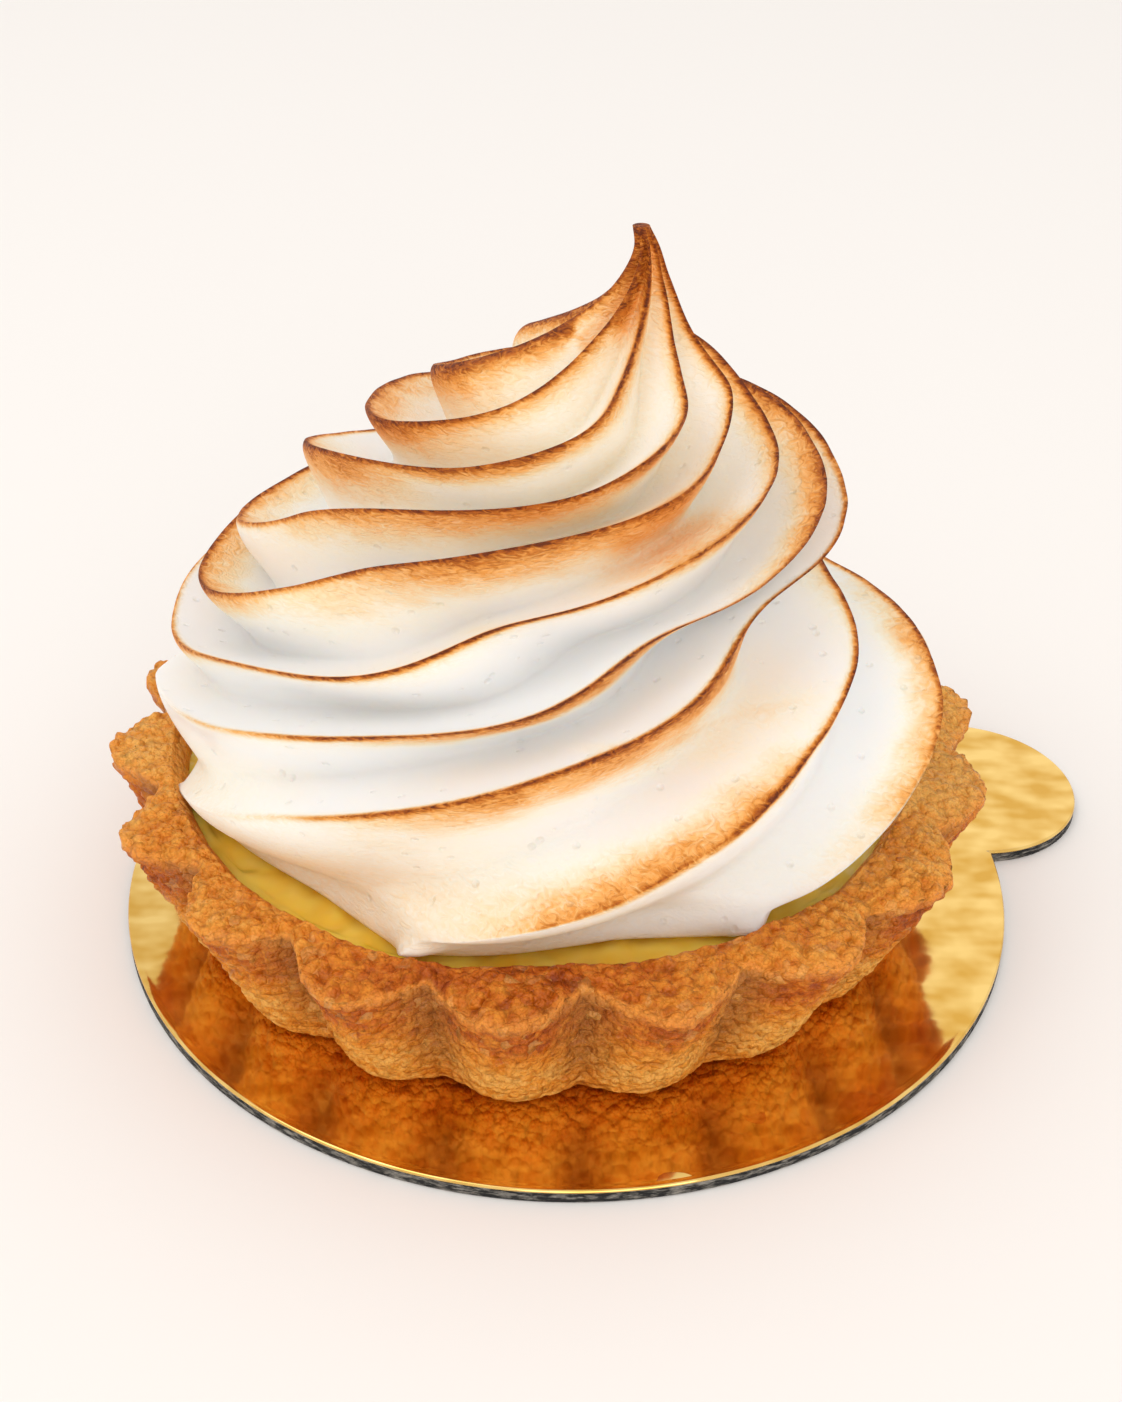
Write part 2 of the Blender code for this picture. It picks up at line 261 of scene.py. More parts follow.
def bore_radius(height):
    """Inner radius of the case at a height above its foot: a straight taper from floor to rim."""
    return BORE_FLOOR + (BORE - BORE_FLOOR) * (height - FLOOR) / (CASE_HEIGHT - FLOOR)


def case_wall(angle, share):
    """Outer radius of the case at a share of its height, and how far each place is out on a lobe:
    a taper, less a crease depth times one minus a rounded wave, plus a push to the right that
    grows with the height, so the rim leans out a little on the right and in on the left."""
    lobe = (0.5 + 0.5 * np.cos(FLUTES * (angle - FLUTE_PHASE)))**FLUTE_ROUND
    radius = FOOT_RADIUS + (RIM_RADIUS - FOOT_RADIUS) * share**0.9
    depth = FOOT_FLUTE + (RIM_FLUTE - FOOT_FLUTE) * share
    depth = depth * (1.0 - FLUTE_SOFT * np.clip(np.cos(angle), 0.0, 1.0))
    lean = RIM_LEAN * share * np.where(np.cos(angle) > 0.0, 1.0, LEFT_LEAN) * np.cos(angle)
    return radius - depth * (1.0 - lobe) + lean, lobe


def grains(points, size):
    """Rounded crumbs: each cell of a lattice, size wide, holds one centre thrown at random, and the
    height is a dome that falls from 1 at the nearest centre to 0."""
    spot = points / size + 1000.0
    cell = np.floor(spot).astype(int)
    nearest = np.full(points.shape[:-1], 9.0)
    for step in np.ndindex(3, 3, 3):
        there = cell + np.array(step) - 1
        i, j, k = np.moveaxis(there % 64, -1, 0)
        throw = np.stack([LATTICE[i, j, k], LATTICE[j, k, i], LATTICE[k, i, j]], -1)
        gap = there + 0.5 + 0.45 * throw - spot
        nearest = np.minimum(nearest, (gap**2).sum(-1))
    return np.clip(1.0 - nearest / 0.5, 0.0, 1.0)


def ring_rows(radii, height, lobe, level, rough, edge):
    """One ring of the case, spread over its columns: radius, height, how far out on a lobe, share of
    the wall's height (1 on the rim's top and inside), how rough, and how near the rim's outer edge."""
    same = np.ones(CASE_COLUMNS)
    return np.stack([radii * same, height * same, lobe * same, level * same, rough * same, edge * same])


angle = np.arange(CASE_COLUMNS) * 2 * math.pi / CASE_COLUMNS
rings = []
foot_radius, foot_lobe = case_wall(angle, 0.0)
# the underside, the fluted outside, the rim's rounded top, then the wall inside and the floor
for shrink in (0.5, 0.9, 0.96):
    rings.append(ring_rows((foot_radius - INSET_BY[0] * MM) * shrink, 0.0, foot_lobe, 0.0, 0.0, 0.0))
for share in np.linspace(0.0, 0.92, 56):
    radius, lobe = case_wall(angle, share)
    inset = np.interp(share, INSET_AT, INSET_BY) * MM
    rings.append(ring_rows(radius - inset, CASE_HEIGHT * share, lobe, share, min(1.0, 0.35 + share * 4),
                           max(0.0, share * 16 - 13.8)))
rim_outer, lobe = case_wall(angle, 0.97)
for t in np.linspace(0.0, 1.0, 26):
    radius = (rim_outer - 0.1 * MM) * (1 - t) + (BORE + 0.4 * MM) * t
    drop = 0.7 * MM * (1.0 - t)**4
    rings.append(ring_rows(radius, CASE_HEIGHT - drop, lobe, 1.0, 1.0 - 0.2 * t, max(0.0, 1.0 - 6 * t)))
for t in np.linspace(0.0, 1.0, 14)[1:]:
    height = CASE_HEIGHT * (1.0 - 0.24 * t) - 0.3 * MM * min(1.0, 3 * t)
    radius = bore_radius(height) + 0.5 * MM * max(0.0, 1 - 4 * t)
    rings.append(ring_rows(radius, height, 0.5, 1.0, 0.8 * max(0.0, 1 - 2.5 * t), 0.0))
rings.append(ring_rows(bore_radius(FLOOR), FLOOR, 0.5, 1.0, 0.0, 0.0))
radii, heights, lobes, levels, roughs, edges = np.stack(rings, 1)
around = np.stack([np.cos(angle), np.sin(angle)], -1)[None]
case = np.concatenate([radii[..., None] * around, heights[..., None]], -1)

# the rim is uneven: up to 0.85 mm up or down, in waves a third and a tenth of the radius long
unit_ring = np.concatenate([around, 0.0 * around[..., :1]], -1)
sag = cloud(unit_ring, 0.33) * 0.5 + cloud(unit_ring, 0.09) * 0.35
case[..., 2] += np.clip(levels * 4 - 3, 0.0, 1.0) * sag * MM

# crags in millimetres: broad swells, coarse crumbs where the crust is lumpy, and fine ones all over
coarse, fine = grains(case, COARSE_CRUMB), grains(case, FINE_CRUMB)
lumpy = np.clip(0.35 + 0.5 * edges + 0.3 * levels, 0.0, 1.0)
crag = cloud(case, 3.5 * MM) * 0.18 + coarse * 0.46 * lumpy + fine * 0.44 - 0.32
crag = crag * roughs * MM
case[..., :2] += around * (crag * np.where(levels < 0.99, 1.0, 0.35))[..., None]
case[..., 2] += crag * np.where(levels > 0.95, 1.0, 0.1)
case += CASE_CENTRE + np.array([0.0, 0.0, CASE_FOOT])

# how far each place is browned, 0 to 1, with painted shade and light mixed in: the lobes more
# towards the top; the creases evenly, but darker than the lobes low down as painted shade; the rim's
# top darker towards the front, and lighter on the right as painted light; in patches; and darker in
# the hollows between crumbs and lighter on their crowns, as painted shade and painted highlight
rise = np.clip(levels * 2.6 - 0.9, 0.0, 1.0)
on_top = np.clip(levels * 20 - 19, 0.0, 1.0)
# painted shade: low down the creases sit darker than the lobes
wall = (0.12 + 0.68 * rise) * lobes**0.8 + (0.44 + 0.14 * rise) * (1.0 - lobes**0.8)
front = np.clip(-np.sin(angle), 0.0, 1.0)**2
# the rim's top is darker towards the front, and lighter on the right side as painted light
bake_and_shade = wall * (1.0 - on_top) + on_top * (0.18 + 0.55 * front - 0.10 * np.clip(np.cos(angle), 0.0, 1.0))
# random blotches, then painted shade in the hollows between crumbs and painted highlight on their
# crowns
bake_and_shade = bake_and_shade + cloud(case, 6.0 * MM) * 0.14 + (0.35 - fine) * 0.18 + (0.3 - coarse) * 0.10
bake_and_shade = np.clip(bake_and_shade, 0.0, 1.0)
# painted shade in the creases: weaker near the foot, full from a third of the way up
crease = np.clip(1.5 * (1.0 - lobes) - 0.45, 0.0, 1.0) * (1.0 - on_top)
crease = crease * np.clip(levels * 3.0, 0.3, 1.0)

# Shortcrust: a sandy crumb of 1 mm grains with 0.4 mm grit between them, browned in blotches 3 mm
# wide, matt, with tiny glints where butter fried the crumb. Gold low down and orange brown on the
# lobes, with painted shade that makes the creases a duller brown and a painted highlight of bright
# orange along the rim's outer edge.
shortcrust, tree, out = material("baked_shortcrust")
place = node(tree, "ShaderNodeTexCoord").outputs["Object"]
bake_and_shade_level = node(tree, "ShaderNodeAttribute", attribute_name="bake_and_shade").outputs["Fac"]
edge_highlight = node(tree, "ShaderNodeAttribute", attribute_name="edge_highlight").outputs["Fac"]
crease_shade = node(tree, "ShaderNodeAttribute", attribute_name="crease").outputs["Fac"]
warp = node(tree, "ShaderNodeTexNoise", {"Vector": place}, Scale=500.0, Detail=2.0)
swirled = node(tree, "ShaderNodeVectorMath",
               {0: warp.outputs["Color"], 1: (0.4 * MM, 0.4 * MM, 0.4 * MM), 2: place},
               operation="MULTIPLY_ADD").outputs["Vector"]
crumb = node(tree, "ShaderNodeTexVoronoi", {"Vector": swirled}, Scale=1000.0)
grit = node(tree, "ShaderNodeTexVoronoi", {"Vector": swirled}, Scale=2700.0)
fibre = node(tree, "ShaderNodeTexNoise", {"Vector": swirled}, Scale=1500.0, Detail=4.0, Roughness=0.65)
blotch = node(tree, "ShaderNodeTexNoise", {"Vector": place}, Scale=330.0, Detail=3.0, Roughness=0.6)
# each pattern shifts the bake up or down: its output, that output's usual range, and its reach
for source, low, high, reach in ((blotch.outputs["Fac"], 0.3, 0.7, 0.14),
                                 (fibre.outputs["Fac"], 0.3, 0.7, 0.05),
                                 (crumb.outputs["Color"], 0.0, 1.0, 0.17),
                                 (grit.outputs["Color"], 0.0, 1.0, 0.07)):
    spread = node(tree, "ShaderNodeMapRange", {"Value": source}, From_Min=low, From_Max=high,
                  To_Min=-reach, To_Max=reach)
    bake_and_shade_level = node(tree, "ShaderNodeMath", {0: bake_and_shade_level, 1: spread.outputs["Result"]},
                 operation="ADD").outputs["Value"]
tone = node(tree, "ShaderNodeValToRGB", {"Fac": bake_and_shade_level},
            stops=((0.0, "#F2AE52"), (0.22, "#EC9A38"), (0.45, "#E08522"), (0.72, "#C46006"),
                   (1.0, "#963C00")))
# painted highlight: the rim's outer edge is mixed towards a bright orange
lit_edge = node(tree, "ShaderNodeMath", {0: edge_highlight, 1: 0.75}, operation="MULTIPLY")
tone_and_edge_highlight = node(tree, "ShaderNodeMix", {0: lit_edge.outputs["Value"], 6: tone.outputs["Color"],
                                     7: linear("#F0963A")}, data_type="RGBA")
# painted shade: the creases are mixed towards a dull brown
crease_shade_amount = node(tree, "ShaderNodeMath", {0: crease_shade, 1: 0.7}, operation="MULTIPLY")
shaded = node(tree, "ShaderNodeMix", {0: crease_shade_amount.outputs["Value"], 6: tone_and_edge_highlight.outputs[2],
                                      7: linear("#A0642A")}, data_type="RGBA")
# one crumb in six is a pale, glassy grain of sugar and butter
pale_grain = node(tree, "ShaderNodeMapRange", {"Value": crumb.outputs["Color"]},
                  From_Min=0.80, From_Max=0.88, To_Min=0.0, To_Max=0.4)
grained = node(tree, "ShaderNodeMix", {0: pale_grain.outputs["Result"], 6: shaded.outputs[2],
                                       7: linear("#F8B65E")}, data_type="RGBA")
# the crumbs are domes: each cell's height falls with the square of the way from its middle
relief = node(tree, "ShaderNodeMath", {0: fibre.outputs["Fac"], 1: 0.12}, operation="MULTIPLY")
for cells, share in ((crumb, 1.0), (grit, 0.25)):
    round_off = node(tree, "ShaderNodeMath", {0: cells.outputs["Distance"], 1: share},
                     operation="MULTIPLY")
    dome = node(tree, "ShaderNodeMath", {0: cells.outputs["Distance"], 1: round_off.outputs["Value"]},
                operation="MULTIPLY")
    relief = node(tree, "ShaderNodeMath", {0: relief.outputs["Value"], 1: dome.outputs["Value"]},
                  operation="SUBTRACT")
bump = node(tree, "ShaderNodeBump", {"Height": relief.outputs["Value"]}, Strength=1.0,
            Distance=0.8 * MM)
gloss = node(tree, "ShaderNodeMapRange", {"Value": crumb.outputs["Color"]}, To_Min=0.75, To_Max=0.28)
pastry = node(tree, "ShaderNodeBsdfPrincipled", {"Base Color": grained.outputs[2],
                                                 "Roughness": gloss.outputs["Result"],
                                                 "Normal": bump.outputs["Normal"]},
              Specular_IOR_Level=0.3, Subsurface_Weight=0.1,
              Subsurface_Radius=(1.0, 0.5, 0.2), Subsurface_Scale=0.8 * MM)
tree.links.new(pastry.outputs["BSDF"], out.inputs["Surface"])
case_piece = grid_piece("fluted_case", case, shortcrust,
                        {"bake_and_shade": bake_and_shade, "edge_highlight": edges * roughs, "crease": crease})
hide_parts("crust")
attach(case_piece, "root")


# ---------------------------------------------------------------------------------------------
# The curd. Lime juice, egg yolk and butter set to a smooth, glossy cream that fills the case and
# clings a little way up the wall.

CURD_LOW, CURD_HIGH = (np.array(corner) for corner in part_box("lime_curd"))
CURD_RADIUS = (CURD_HIGH[0] - CURD_LOW[0]) / 2 + 0.45 * MM
CURD_TOP = CURD_HIGH[2]
CURD_GAP = 0.3 * MM  # between the curd and the case's wall at the foot
CURD_SINK = 0.25 * MM  # from the ring that clings to the wall to the level inside it
CURD_COLUMNS = 360

angle = np.arange(CURD_COLUMNS) * 2 * math.pi / CURD_COLUMNS
around = np.stack([np.cos(angle), np.sin(angle)], -1)[None]
foot = bore_radius(CURD_LOW[2] - CASE_FOOT) - CURD_GAP
# radius and height: the underside, the side against the wall, then in over the top
profile = [(foot * 0.5, CURD_LOW[2]), (foot, CURD_LOW[2])]
profile += [(foot + (CURD_RADIUS - foot) * t, CURD_LOW[2] + (CURD_TOP - CURD_LOW[2]) * t)
            for t in np.linspace(0.0, 1.0, 12)[1:]]
profile += [(CURD_RADIUS - 6.0 * MM * t, CURD_TOP - CURD_SINK * (1.0 - math.exp(-6 * t)))
            for t in np.linspace(0.0, 1.0, 24)[1:]]
profile += [(CURD_RADIUS * 0.5, CURD_TOP - CURD_SINK)]
profile = np.array(profile)
curd = np.concatenate([profile[:, None, :1] * around, profile[:, None, 1:] + 0 * around[..., :1]], -1)
flat_part = (profile[:, 0] < CURD_RADIUS - 1.2 * MM) & (profile[:, 1] > CURD_TOP - MM)
waves = cloud(curd, 2.2 * MM) * 0.30 - 0.15
curd[..., 2] += waves * MM * flat_part[:, None]
curd += CASE_CENTRE

# Set lime curd: a wet, translucent gel of egg yolk and butter, so light goes a few millimetres in
# and the surface is glossy, with soft dimples 3 mm wide from the spoon.
lime, tree, out = material("set_lime_curd")
place = node(tree, "ShaderNodeTexCoord").outputs["Object"]
cloudy = node(tree, "ShaderNodeTexNoise", {"Vector": place}, Scale=300.0, Detail=1.0)
tone = node(tree, "ShaderNodeValToRGB", {"Fac": cloudy.outputs["Fac"]},
            stops=((0.3, "#FFC842"), (0.7, "#FFD65C")))
bump = node(tree, "ShaderNodeBump", {"Height": cloudy.outputs["Fac"]}, Strength=0.6, Distance=1.8 * MM)
gel = node(tree, "ShaderNodeBsdfPrincipled", {"Base Color": tone.outputs["Color"],
                                              "Normal": bump.outputs["Normal"]},
           Roughness=0.08, IOR=1.4, Subsurface_Weight=0.7, Subsurface_Radius=(1.0, 0.7, 0.25),
           Subsurface_Scale=3.0 * MM)
tree.links.new(gel.outputs["BSDF"], out.inputs["Surface"])
curd_piece = grid_piece("curd_filling", curd, lime)
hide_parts("lime_curd")
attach(curd_piece, "root")


# ---------------------------------------------------------------------------------------------
# The meringue. Egg white and hot sugar syrup, whipped stiff and piped in one go through an
# eight-point star nozzle: round on the curd, round again on top, then pulled up to a leaning peak.
# A torch browns the thin edges of the blades first.

BLADES = 8
# height of the blades' edges, their radius, the swirl's centre x and y, turn, groove depth, curl
SWIRL = np.array((
    (16.3, 34.0, -2.5, 0.0, -250, 3.0, 0.0),
    (18.5, 35.0, -2.5, 0.0, -247, 5.0, 0.5),
    (21.0, 37.0, -2.0, 0.0, -240, 6.0, 1.0),
    (25.0, 38.0, -1.5, 0.0, -225, 7.0, 1.5),
    (29.5, 37.5, -1.5, 0.0, -210, 7.0, 2.0),
    (34.0, 35.0, -3.0, -0.5, -188, 7.0, 2.5),
    (38.0, 32.0, -3.5, 0.0, -158, 7.0, 3.0),
    (42.0, 28.5, -3.0, -1.0, -115, 6.5, 3.5),
    (46.0, 25.5, -1.0, -0.5, -83, 6.0, 4.0),
    (49.5, 22.5, 0.0, 0.0, -50, 6.0, 4.0),
    (52.0, 17.5, 1.0, 0.0, 5, 5.5, 4.0),
    (54.5, 13.0, 2.0, 0.0, 35, 4.5, 3.0),
    (57.0, 8.1, 3.4, 1.0, 45, 3.5, 2.0),
    (60.5, 4.1, 5.2, 2.0, 47, 2.0, 0.5),
    (64.0, 2.0, 6.0, 1.5, 48, 1.0, 0.0),
    (67.0, 1.0, 6.0, 1.0, 49, 0.5, 0.0),
    (68.8, 0.7, 5.5, 0.5, 50, 0.0, 0.0),
))
BLADE_SHIFT = np.array((10, 5, 0, -10, -5, 0, -5, 5, 10))
FACE_SHARE = 0.64
SWELL_MEAN, SWELL_RIGHT = 0.6, -0.3
# where a coil lies on the one below: mean height, how much higher on the left, depth, extra right
CREASES = ((43.0, 3.5, 2.5, 1.5), (52.0, -0.5, 1.5, 0.0))
CREASE_WIDTH, CREASE_STEP = 2.2, 1.3
COIL_TILT, COIL_LEVEL, COIL_REACH = 2.0, 40.0, 8.0
# where the rope sags over the coil below: bearing, its spread, height, its reach, drop, outward
SAGS = ((172, 28, 45.0, 6.0, 1.5, 3.5), (188, 26, 37.0, 5.0, 3.0, 0.8), (28, 34, 38.0, 6.0, 6.5, 0.0),
        (32, 24, 29.5, 5.0, 0.5, -4.5))
# on the lower left the blades ran together: bearing, its spread, height, its reach, share filled
FILL_BEARING, FILL_SPREAD, FILL_LEVEL, FILL_REACH, FILL_SHARE = 190, 50, 27.0, 9.0, 0.7
# a drip is drawn out where a blade ends on the curd: height, its reach, how far out
DRIP_LEVEL, DRIP_REACH, DRIP_OUT = 17.6, 0.9, 1.5
# the torch's sweeps under the blades' edges: blade, bearing, its spread, strength, width browned
SWEEPS_BELOW = (
    (3, -92, 52, 0.46, 5.5), (3, -64, 22, 0.42, 8.0), (3, 176, 30, 0.46, 3.0),
    (2, -118, 44, 0.40, 5.0), (2, -57, 26, 0.46, 2.6), (1, -175, 28, 0.48, 5.5),
    (1, -118, 32, 0.42, 1.8), (5, -92, 26, 0.48, 3.2), (6, -80, 34, 0.50, 6.0),
    (6, -64, 24, 0.50, 8.5), (4, -40, 30, 0.36, 1.5), (5, 6, 38, 0.60, 2.8),
    (0, 0, 24, 0.42, 2.0), (0, 165, 50, 0.50, 4.0), (7, 150, 60, 0.45, 4.0),
    (4, 150, 50, 0.35, 2.0), (5, 120, 60, 0.40, 3.0), (6, 90, 60, 0.40, 3.0))
# its sweeps over them, on the hollow faces
SWEEPS_ABOVE = (
    (7, -76, 22, 0.50, 4.2), (5, -2, 52, 0.50, 3.0), (0, -16, 32, 0.44, 3.2),
    (3, 178, 30, 0.44, 4.5), (1, -160, 40, 0.45, 4.0), (0, 165, 50, 0.45, 4.0),
    (2, 170, 40, 0.40, 4.0), (4, 0, 40, 0.32, 2.0), (7, 40, 60, 0.40, 3.0), (6, 60, 60, 0.40, 3.0))
# the dark line on an edge and the pale halo beside it: width, and the line's greatest toast
LINE_WIDTH, HALO_WIDTH, LINE_TOAST = 0.40, 1.8, 0.92
BLADE_COLUMNS, SWIRL_ROWS, CROWDING = 36, 340, 0.75


def along_rows(table, count):
    """The table read at even steps along its outline: cubic Hermite pieces through the rows."""
    walk = np.concatenate([[0.0], np.cumsum(np.hypot(np.diff(table[:, 0]), np.diff(table[:, 1])))])
    slope = np.gradient(table, walk, axis=0)
    where = np.linspace(0.0, walk[-1], count)
    i = np.clip(np.searchsorted(walk, where) - 1, 0, len(walk) - 2)
    span = (walk[i + 1] - walk[i])[:, None]
    t = (where - walk[i])[:, None] / span
    return ((2 * t**3 - 3 * t**2 + 1) * table[i] + (t**3 - 2 * t**2 + t) * span * slope[i]
            + (3 * t**2 - 2 * t**3) * table[i + 1] + (t**3 - t**2) * span * slope[i + 1])


def blade_edge(share, angle):
    """1 on a blade's edge and 0 in the groove: a broad face below that bulges, most on the left,
    and a steep hollow face above."""
    face = np.clip(1.0 - share / FACE_SHARE, 0.0, 1.0)
    back = np.clip((share - FACE_SHARE) / (1.0 - FACE_SHARE), 0.0, 1.0)
    full = SWELL_MEAN + SWELL_RIGHT * np.cos(angle)
    swell = full * (0.5 - 0.5 * np.cos(np.pi * face)) + (1.0 - full) * face**1.2
    return np.where(share < FACE_SHARE, swell, back**1.6)


# the columns crowd towards the blades' edges, so the browned line on each edge stays thin
blade = np.arange(BLADES * BLADE_COLUMNS)[None] / BLADE_COLUMNS
blade = blade - CROWDING * np.sin(2 * math.pi * blade) / (2 * math.pi)
height, radius, x, y, turn, groove, curl = along_rows(SWIRL, SWIRL_ROWS).T[..., None]
shift = np.interp(blade, np.arange(BLADES + 1), BLADE_SHIFT)
angle = np.radians(turn + shift + (blade - 4) * 360 / BLADES)
edge = blade_edge(blade - np.floor(blade), angle)
# each point is on a ring round the swirl's centre, nearer by the groove's depth between two edges and
# lower by the curl, then drawn in at the creases, tilted with the coil, sagged, and moved by hand
turned = (np.degrees(angle) - FILL_BEARING + 180) % 360 - 180
filled = np.exp(-(turned / FILL_SPREAD)**2 - ((height - FILL_LEVEL) / FILL_REACH)**2)
reach = radius - groove * (1.0 - edge) * (1.0 - FILL_SHARE * filled)
rise = height - curl * (1.0 - edge)
for level, tilt, depth, extra in CREASES:
    off = (height - level + tilt * np.cos(angle)) / CREASE_WIDTH
    reach = reach - (depth + extra * np.cos(angle)) * np.exp(-off**2)
    rise = rise + CREASE_STEP * np.tanh(off) * np.exp(-(off / 4)**2)
rise = rise + COIL_TILT * np.exp(-((height - COIL_LEVEL) / COIL_REACH)**2) * np.cos(angle)
for bearing, spread, level, tall, drop, outward in SAGS:
    turned = (np.degrees(angle) - bearing + 180) % 360 - 180
    near = np.exp(-(turned / spread)**2 - ((height - level) / tall)**2)
    reach = reach + outward * near
    rise = rise - drop * near
drip = np.exp(-((height - DRIP_LEVEL) / DRIP_REACH)**2) * np.exp(-((1.0 - edge) / 0.10)**2)
reach = reach + DRIP_OUT * drip
swirl = np.stack([x + reach * np.cos(angle), y + reach * np.sin(angle), rise], -1) * MM
free = np.clip((height - 20) / 4, 0, 1)
hand = cloud(swirl, 7.0 * MM) * 0.22 + cloud(swirl, 2.4 * MM) * 0.07
swirl = swirl + (hand * free)[..., None] * MM * np.stack(
    [np.cos(angle), np.sin(angle), 0.4 + 0 * angle], -1)


def from_edge(side):
    """Millimetres from each point to the edge of its own blade (side 0) or the next one (side 1),
    at right angles to that edge: the offset in the ring, less its part along the edge."""
    edges = swirl[:, ::BLADE_COLUMNS]
    along = np.gradient(edges, axis=0)
    along = along / np.linalg.norm(along, axis=-1, keepdims=True)
    own = (np.floor(blade[0]).astype(int) + side) % BLADES
    gap = swirl - edges[:, own]
    gap = gap - (gap * along[:, own]).sum(-1, keepdims=True) * along[:, own]
    return np.linalg.norm(gap, axis=-1) / MM


def torch(passes, side):
    """What the torch's sweeps leave beside an edge. Each sweep has a blade, a bearing and its spread
    in degrees, a strength, and how far from the edge it browns in millimetres."""
    own = (np.floor(blade) + side) % BLADES
    away = (below, above)[side]
    total = 0.0 * away
    for which, towards, spread, strength, width in passes:
        turned = (bearing - towards + 180) % 360 - 180
        swept = strength * np.exp(-(turned / spread)**4 - (away / width)**2.2)
        total = np.maximum(total, np.where(own == which, swept, 0.0))
    return total


# how brown a place is, from 0 to 1, with cream painted light and shade added: the sweeps, mottled,
# plus a faint halo by each edge, more on the spire, plus a painted glow in the upper hollows and
# painted shade on the lower skirt, all lifted to a dark line on the edge itself. The line fades
# low down and where blades ran together, and comes and goes in patches.
below, above = from_edge(0), from_edge(1)
bearing = np.degrees(np.arctan2(swirl[..., 1], swirl[..., 0]))
up = swirl[..., 2] / MM
nearest = np.minimum(below, above)
browned = np.clip((up - 23.0) / 9.0, 0.0, 1.0)
patchy = np.clip(1.0 + 0.45 * cloud(swirl, 6.0 * MM), 0.6, 1.2)
line = browned * (1.0 - filled)**1.6 * patchy * np.exp(-(nearest / LINE_WIDTH)**2)
spire = 0.35 * np.clip((up - 50.0) / 6.0, 0.0, 1.0) * np.exp(-(nearest / 1.4)**2)
halo = browned * (1.0 - 0.8 * filled) * np.exp(-(np.minimum(below, 2.5 * above) / HALO_WIDTH)**1.5)
mottled = np.clip(0.95 + 0.25 * cloud(swirl, 1.4 * MM) + 0.22 * cloud(swirl, 4.0 * MM), 0.4, 1.3)
tip = np.clip((up - 60.0) / 6.0, 0.0, 1.0)
# cream painted light and shade: painted shade on the skirt at the lower front, warm as if lit by
# the curd, and a painted glow in the hollows high up
skirt_shade = np.clip((30.0 - up) / 8.0, 0.0, 1.0) * np.exp(-(((bearing + 125 + 180) % 360 - 180) / 60)**2)
glow_and_skirt_shade = (0.05 * (1.0 - edge)**2 + 0.07) * np.clip((up - 42.0) / 8.0, 0.0, 1.0) + 0.19 * skirt_shade
swept = np.maximum(torch(SWEEPS_BELOW, 0), torch(SWEEPS_ABOVE, 1)) * mottled
# adds the halo and spire browning, then the painted glow and the painted skirt shade
swept = swept + 0.18 * halo + 0.7 * spire + glow_and_skirt_shade
toast_and_painted_light = swept + np.clip(LINE_TOAST - 0.1 * tip - swept, 0.0, 1.0) * line

# Italian meringue: a fine, satin foam that light enters, so its hollows glow warm; high up that
# glow is also painted into the colour. Browned sugar is matt, closed to light and wrinkled a
# millimetre apart, with pinhead bubbles 2.4 mm apart.
meringue, tree, out = material("italian_meringue")
place = node(tree, "ShaderNodeTexCoord").outputs["Object"]
# the browning read from the mesh, with the painted glow and skirt shade in it
toast_and_light_fac = node(tree, "ShaderNodeAttribute", attribute_name="toast_and_painted_light").outputs["Fac"]
squashed = node(tree, "ShaderNodeMapping", {"Vector": place}, Scale=(0.6, 0.6, 1.5)).outputs["Vector"]
skin = node(tree, "ShaderNodeTexNoise", {"Vector": squashed}, Scale=1500.0, Detail=3.0, Distortion=1.6)
spread = node(tree, "ShaderNodeMapRange", {"Value": skin.outputs["Fac"]}, From_Min=0.3, From_Max=0.7,
              To_Min=0.78, To_Max=1.22)
level = node(tree, "ShaderNodeMath", {0: toast_and_light_fac, 1: spread.outputs["Result"]}, operation="MULTIPLY")
tone = node(tree, "ShaderNodeValToRGB", {"Fac": level.outputs["Value"]},
            stops=((0.0, "#F2F1EF"), (0.10, "#FCF2E4"), (0.25, "#FFDFB6"), (0.42, "#FFBE72"),
                   (0.56, "#F3A147"), (0.72, "#CD7217"), (0.88, "#A24C06"), (1.0, "#743008")))
wrinkled = node(tree, "ShaderNodeMath", {0: skin.outputs["Fac"], 1: level.outputs["Value"]},
                operation="MULTIPLY")
bubbles = node(tree, "ShaderNodeTexVoronoi", {"Vector": place}, Scale=420.0)
pit = node(tree, "ShaderNodeMapRange", {"Value": bubbles.outputs["Distance"]}, From_Min=0.04,
           From_Max=0.16, To_Min=-0.35, To_Max=0.0)
relief = node(tree, "ShaderNodeMath", {0: wrinkled.outputs["Value"], 1: pit.outputs["Result"]},
              operation="ADD")
bump = node(tree, "ShaderNodeBump", {"Height": relief.outputs["Value"]}, Strength=0.7,
            Distance=1.0 * MM)
gloss = node(tree, "ShaderNodeMapRange", {"Value": level.outputs["Value"]}, To_Min=0.30, To_Max=0.70)
# light enters the white foam, but not the browned crust on it
clear = node(tree, "ShaderNodeMapRange", {"Value": toast_and_light_fac}, From_Min=0.05, From_Max=0.45, To_Min=0.8,
             To_Max=0.0)
foam = node(tree, "ShaderNodeBsdfPrincipled", {"Base Color": tone.outputs["Color"],
                                               "Roughness": gloss.outputs["Result"],
                                               "Subsurface Weight": clear.outputs["Result"],
                                               "Normal": bump.outputs["Normal"]},
            Specular_IOR_Level=0.35, Subsurface_Radius=(1.0, 0.88, 0.76), Subsurface_Scale=5.0 * MM)
tree.links.new(foam.outputs["BSDF"], out.inputs["Surface"])
swirl_piece = grid_piece("meringue_swirl", swirl, meringue, {"toast_and_painted_light": toast_and_painted_light})
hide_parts("meringue")
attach(swirl_piece, "root")


# ---------------------------------------------------------------------------------------------
# The setting: a pale table in a white room, a soft box above on the left, a broader one in front, a
# faint one behind, and a camera at standing height.

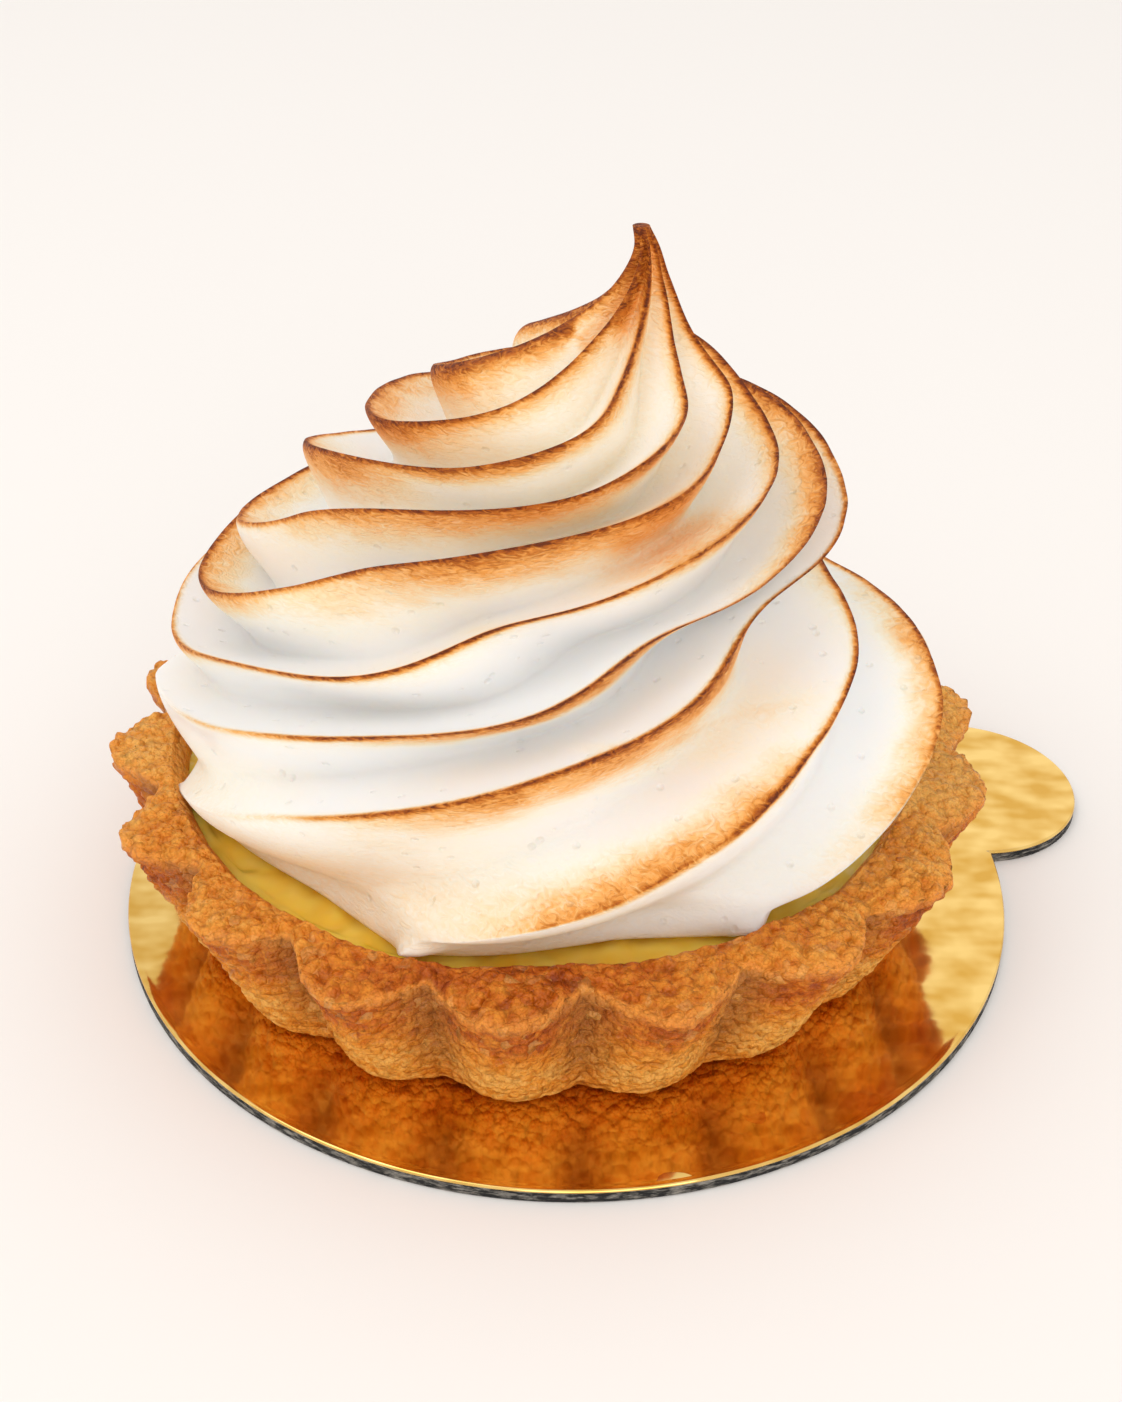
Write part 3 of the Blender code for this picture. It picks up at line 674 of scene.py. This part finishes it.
TABLE_HALF, TABLE_DROP = 3.0, 0.1 * MM
floor_mesh = bpy.data.meshes.new("table_top")
corners = [(side * TABLE_HALF, depth * TABLE_HALF, -TABLE_DROP)
           for side, depth in ((-1, -1), (1, -1), (1, 1), (-1, 1))]
floor_mesh.from_pydata(corners, [], [(0, 1, 2, 3)])
table_top = bpy.data.objects.new("table_top", floor_mesh)
bpy.context.scene.collection.objects.link(table_top)
pale, tree, out = material("pale_table")
matt = node(tree, "ShaderNodeBsdfPrincipled", Base_Color=linear("#F9F3ED"), Roughness=1.0)
tree.links.new(matt.outputs["BSDF"], out.inputs["Surface"])
floor_mesh.materials.append(pale)

world = bpy.data.worlds.new("studio")
bpy.context.scene.world = world
world.use_nodes = True
world.node_tree.nodes["Background"].inputs["Color"].default_value = linear("#FFFFFF")
world.node_tree.nodes["Background"].inputs["Strength"].default_value = 0.88


def soft_light(name, place, aim, size, power):
    """A square soft box at place, turned to face aim: tipped by the angle whose tangent is the way
    across over the way down, and turned to the bearing of aim."""
    lamp = bpy.data.lights.new(name, "AREA")
    lamp.size = size
    lamp.energy = power
    made = bpy.data.objects.new(name, lamp)
    made.location = place
    toward = np.array(aim) - np.array(place)
    across = math.hypot(toward[0], toward[1])
    made.rotation_euler = (math.atan2(across, -toward[2]), 0.0, math.atan2(-toward[0], toward[1]))
    bpy.context.scene.collection.objects.link(made)


MIDDLE = (0.0, 0.0, 0.03)
soft_light("overhead", (-0.5, -0.25, 0.9), MIDDLE, 0.6, 1.8)
soft_light("fill", (0.15, -0.85, 0.35), MIDDLE, 0.6, 1.85)
soft_light("back", (0.6, 1.2, 0.8), MIDDLE, 0.8, 0.3)

camera = bpy.data.cameras.new("camera")
camera.lens = 46.22
camera.clip_start = 0.01
viewer = bpy.data.objects.new("camera", camera)
viewer.location = (0.0, -0.14947, 0.11743)
viewer.rotation_euler = (math.radians(57.22), math.radians(-0.58), math.radians(0.68))
bpy.context.scene.collection.objects.link(viewer)
bpy.context.scene.camera = viewer
bpy.context.scene.view_settings.view_transform = "Standard"
